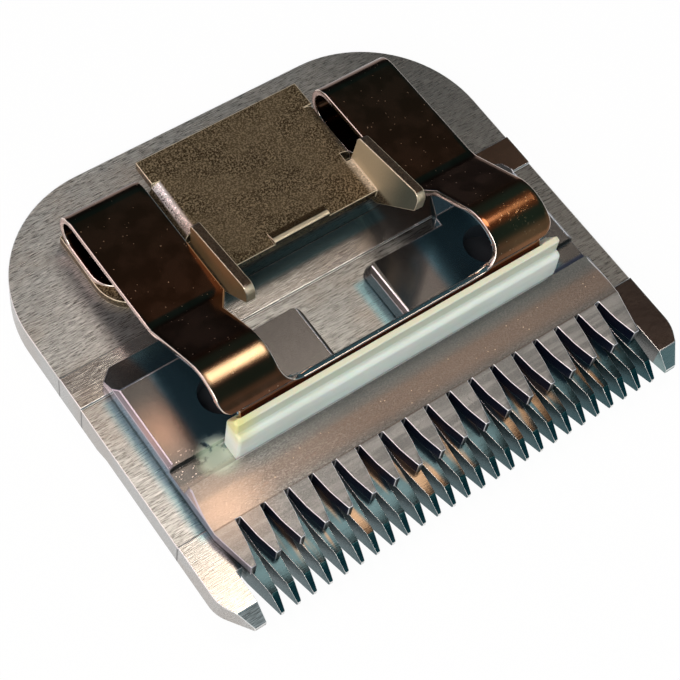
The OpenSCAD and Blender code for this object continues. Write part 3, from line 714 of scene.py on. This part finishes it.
just = 1e-7
for a, b in zip(rows, rows[1:]):
    split_a, split_b = (bar_half if a >= neck_s - 1e-4 else min(outer(s) - rim, bar_half)
                        for s in (a + just, b - just))
    cells(inner(a + just), split_a, a, inner(b), split_b, b, leg_cells)
    if b <= neck_s + 1e-4:
        cells(split_a, outer(a + just), a, split_b, outer(b - just), b, rim_cells)
    if a >= front_s - 1e-4:
        cells(0, window_half - window_round, a, 0, window_half - window_round, b, bar_cells)
bmesh.ops.remove_doubles(bm, verts=bm.verts, dist=1e-6)
bmesh.ops.recalc_face_normals(bm, faces=bm.faces)
strip = started("tension_spring_strip", bm)
thick = strip.modifiers.new("sheet", "SOLIDIFY")
thick.thickness = spring_t / 1000
thick.offset = 0
thick.use_even_offset = True
thick.material_offset_rim = 1
bevelled(strip, "ANGLE", spring_break_mm).angle_limit = math.radians(60)
settled(strip)
smoothed(strip)

# Brown oxide over bright steel, reddened on the humps as a painted warm reflection, with a painted
# highlight on the left one's crest and a painted glow with painted gold sparkles on the right
# one's.
blued = Finish("spring_steel", Metallic=1.0)
right_crest = (15, -6.5, 12.4)
dust = blued.specks(0.4, 0.17, 0.26) + blued.specks(0.9, 0.1, 0.2, 7)
cloudy = blued.noise(2.2, 3, 0.5).rise(0.4, 0.6)
# Painted reflection: the humps' tops are reddened.
hump_sheen = blued.y.band(-8.2, -3.2, 0.4) * blued.z.rise(11.2, 11.8)
# Painted highlight: a light band along the left hump's crest, where the key lamp's reflection lies.
left_crest_highlight = (blued.y.band(-6.3, -4.9, 0.3) * blued.z.rise(12, 12.4)
              * (1 - blued.x.rise(-9, -7)))
# Painted reflection: a warm glow and gold sparkles on the right hump's crest.
gold_sparkles = blued.noise(0.35, 4, 0.7).rise(0.58, 0.7) * blued.near(right_crest, 3.8)
blued.wears(
    colour=blued.layered(
        blued.colours(cloudy, (0.085, 0.038, 0.02), (0.11, 0.05, 0.028)),
        (0.8 * hump_sheen, (0.23, 0.078, 0.035)),
        (0.75 * left_crest_highlight, (0.5, 0.36, 0.22)),
        (0.6 * blued.near(right_crest, 6.5), (0.27, 0.135, 0.06)),
        (0.7 * gold_sparkles, (0.6, 0.38, 0.2)),
        (0.4 * dust, (0.4, 0.29, 0.2)),
        (blued.worn(), (0.72, 0.6, 0.53))),
    rough=0.14 + 0.03 * cloudy + 0.2 * dust + 0.1 * gold_sparkles + 0.12 * left_crest_highlight,
    bumps=[(dust, 0.002), (gold_sparkles, 0.006)])
strip.data.materials.append(blued.material)
weigh(strip)
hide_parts("tension_spring")
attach(strip, "blade_base")

# Guide: a bar of white plastic with a slot along its underside, pushed onto the spring's front bar.
# The cutter's cross groove slides along it; its left end is yellowed by oil.
(guide_left, guide_front, _), (guide_right, _, guide_top) = (
    [1000 * v for v in corner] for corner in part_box("blade_guide"))
guide_open_z = 7  # above the cutter and clear of it
guide_break_mm, left_end_break_mm, right_end_break_mm = 0.1, 0.3, 0.32


def guide_break(x, y, z):
    """Millimetres broken off the guide's moulded corners: its two ends are round."""
    if x < guide_left + 0.2:
        return left_end_break_mm
    at_right = x > guide_right - 0.2 and z > guide_open_z
    return right_end_break_mm if at_right else guide_break_mm


guide = dressed("blade_guide_bar", flat_faced(merged("blade_guide")), guide_break)
plastic = Finish("guide_plastic", Subsurface_Weight=0.3, Subsurface_Scale=0.002,
                 Specular_IOR_Level=0.4)
cloud = plastic.noise(1.6, 3, 0.5, (4, 1, 1)).rise(0.35, 0.65)
ledge = plastic.z.rise(guide_top - 0.35, guide_top - 0.1)
# Painted shade: the ledge's front face is made olive.
ledge_face_shade = plastic.z.band(guide_top - 1.55, guide_top - 0.3, 0.12)
oiled = plastic.near((-16.6, guide_front + 0.8, guide_top - 0.5), 3.2)
plastic.wears(
    colour=plastic.layered(
        plastic.colours(cloud, (0.78, 0.8, 0.73), (0.86, 0.87, 0.8)),
        (ledge, (0.76, 0.7, 0.52)),
        (0.7 * ledge_face_shade, (0.5, 0.5, 0.36)),
        (0.85 * oiled, (0.8, 0.74, 0.28))),
    rough=0.38 + 0.12 * cloud,
    bumps=[(cloud, 0.01)])
guide.data.materials.append(plastic.material)
weigh(guide)
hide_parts("blade_guide")
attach(guide, "blade_base")

# Hinge socket: one blank of 0.9 mm sheet, sheared, folded into a mouth with two horns and two
# flanges, and zinc plated yellow. The plating is grainy on the face and smooth on the horns.
plate_z = 7.4
lip_half = 3
socket_break_mm = 0.07
socket = dressed("hinge_socket_sheet", flat_faced(merged("hinge_socket")), socket_break_mm)
plating = Finish("socket_plate")
facing_x, facing_y, facing_z = plating.facing()
sand = plating.noise(0.16, 4, 0.7).rise(0.44, 0.64)
bloom = plating.noise(3.5, 3, 0.6).rise(0.4, 0.62)
# Painted light: the left horn's faces are painted darker toward the front as shade; the plate by
# the right horn, the lip's ridge, the horns' noses and the fold at the left carry painted
# highlights, and below the ridge the lip is painted dark as shade; the sheared edges are dark.
right_half = plating.x.rise(-1, 1)
sides = abs(facing_x).rise(0.8, 0.95) * plating.z.rise(plate_z - 0.2, plate_z + 0.4)
# The left horn's faces: painted shade, darker toward the front.
horn_face_and_shade = plating.colours(
    right_half, (0.6, 0.42, 0.22),
    plating.colours(plating.y.rise(1, 6), (0.1, 0.105, 0.075), (0.5, 0.4, 0.25)))
sheared = facing_z.rise(0.5, 0.8) * plating.z.rise(8, 8.2)
fold = facing_x * -1
fold = fold.rise(0.12, 0.4) * (1 - fold.rise(0.75, 0.9)) * plating.z.rise(6.6, 7)
# Painted highlight on the plate beside the right horn.
highlight_by_horn = (plating.x.band(7.6, 8.5, 0.35) * plating.y.band(4.6, 8.7, 0.4)
           * plating.z.band(plate_z - 0.2, plate_z + 0.2, 0.1))
lip = (plating.z.rise(plate_z + 0.04, plate_z + 0.1) * (1 - plating.z.rise(7.9, 8))
       * (1 - abs(plating.x).rise(lip_half - 0.05, lip_half + 0.05)))
# The lip: painted shade on its slope, a painted highlight on its ridge.
lip_light_and_shade = plating.colours(plating.z.rise(7.7, 7.76), (0.04, 0.025, 0.012), (1, 0.85, 0.6))
# Painted highlight on the horns' front noses.
horn_nose_highlight = (facing_y * -1).rise(0.3, 0.7) * plating.z.rise(8, 9)
# Painted highlight along the fold at the left, whitest at the rear.
fold_highlight = plating.colours(plating.y.rise(9, 16), (0.75, 0.58, 0.5), (1, 0.95, 0.95))
plating.wears(
    colour=plating.layered(
        plating.colours(sand, (0.042, 0.029, 0.016), (0.36, 0.275, 0.165)),
        (0.35 * bloom, (0.2, 0.15, 0.09)),
        (sides, horn_face_and_shade),
        (0.85 * sheared, (0.06, 0.04, 0.028)),
        ((0.5 + 0.4 * sand) * highlight_by_horn, (1, 0.88, 0.7)),
        (0.9 * lip, lip_light_and_shade),
        (0.85 * horn_nose_highlight, (1, 0.82, 0.6)),
        (0.9 * fold, fold_highlight),
        (plating.worn(), (0.8, 0.68, 0.5))),
    rough=0.4 - 0.15 * fold + 0.15 * sand,
    metal=1 - 0.55 * sides * right_half,
    bumps=[(sand * (1 - sides), 0.02)])
socket.data.materials.append(plating.material)
weigh(socket)
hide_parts("hinge_socket")
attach(socket, "blade_base")

# Screws: two turned and slotted machine screws, plain zinc plated. They come up from below through
# the comb, the spring's feet and the socket's flanges.
left_x, right_x = (500 * (low[0] + high[0]) for low, high in (
    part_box("socket_screw_left"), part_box("socket_screw_right")))
pair = placed("socket_screws", bpy.data.meshes.new("socket_screws"))
screw_break_mm = 0.06
turned = dressed("turned_screw", flat_faced(merged("socket_screw_left")), screw_break_mm)
turned.data.transform(Matrix.Translation((-left_x / 1000, 0, 0)))
zinc = Finish("screw_steel", Metallic=1.0)
rub = zinc.noise(0.25, 4, 0.6).rise(0.35, 0.65)
zinc.wears(
    colour=zinc.layered(
        zinc.colours(rub, (0.34, 0.34, 0.36), (0.55, 0.55, 0.56)),
        (zinc.worn(), (0.8, 0.8, 0.8))),
    rough=0.3 + 0.15 * rub,
    bumps=[(rub, 0.004)])
set_out(pair, turned, 2, left_x, right_x - left_x, zinc.material)
weigh(pair)
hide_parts("socket_screw_left", "socket_screw_right")
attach(pair, "blade_base")

# Table and light: a white table under a soft warm key lamp high on the right, a small lamp behind
# on the left for the edges and a wide fill from the camera's side, in a dim teal room with a
# bright window on the left.
table_half = 3
table = placed("table", bpy.data.meshes.new("table"))
table.data.from_pydata([(x * table_half, y * table_half, 0)
                        for x, y in ((-1, -1), (1, -1), (1, 1), (-1, 1))], [], [(0, 1, 2, 3)])
table.location.z = -0.00005
white = Finish("table_white", Roughness=0.9, Specular_IOR_Level=0.0,
               Base_Color=(0.93, 0.93, 0.93, 1))
by_camera, by_gloss, through = (white.node("ShaderNodeLightPath", {}, {}, kind) for kind in (
    "Is Camera Ray", "Is Glossy Ray", "Is Transmission Ray"))
plain = white.node("ShaderNodeMixShader", {}, {
    0: 0.96 * by_camera.most(by_gloss).most(through),
    1: Signal(white, white.shader.outputs[0]), 2: white.node("ShaderNodeEmission")})
white.tree.links.new(plain.socket, white.tree.nodes["Material Output"].inputs["Surface"])
table.data.materials.append(white.material)


def lamp(name, toward, distance, size, watts, colour):
    """A round lamp that shines at the blade from that side; distance and size in metres."""
    light = bpy.data.objects.new(name, bpy.data.lights.new(name, "AREA"))
    bpy.context.scene.collection.objects.link(light)
    light.data.shape = "DISK"
    light.data.size = size
    light.data.energy = watts
    light.data.color = colour
    away = Vector(toward).normalized()
    light.location = away * distance
    light.rotation_mode = "QUATERNION"
    light.rotation_quaternion = away.to_track_quat("Z", "Y")


key_way = (0.28, 0.12, 0.952)
lamp("key", key_way, 0.6, 0.24, 0.85, (1.0, 0.92, 0.82))
lamp("edge_light", (-0.3, 0.37, 0.88), 0.5, 0.12, 0.16, (1.0, 0.86, 0.87))
lamp("fill", (-0.5, -0.5, 0.7), 0.5, 0.3, 1.3, (1.0, 0.98, 0.92))

world = bpy.data.worlds.new("room")
bpy.context.scene.world = world
world.use_nodes = True
room = Tree(world.node_tree)
outward = room.node("ShaderNodeTexCoord", {}, {}, "Generated")


def within(axis, wide, narrow):
    """0 beyond wide degrees from an axis, 1 within narrow."""
    along = room.node("ShaderNodeVectorMath", {"operation": "DOT_PRODUCT"}, {
        0: outward, 1: tuple(Vector(axis).normalized())}, "Value")
    return along.rise(math.cos(math.radians(wide)), math.cos(math.radians(narrow)))


walls = room.layered(
    room.colours(within((0.2, 1, 0.3), 75, 35), (0.42, 0.52, 0.56), (0.03, 0.035, 0.04)),
    (within((0, 0, 1), 80, 50), (0.035, 0.13, 0.18)),
    (within((-0.68, 0.34, 0.58), 40, 26), (1.5, 1.25, 1.28)),
    (within(key_way, 30, 8), (0.26, 0.15, 0.09)))
room.tree.links.new(walls.socket, room.tree.nodes["Background"].inputs["Color"])
bpy.context.scene.view_settings.view_transform = "Standard"
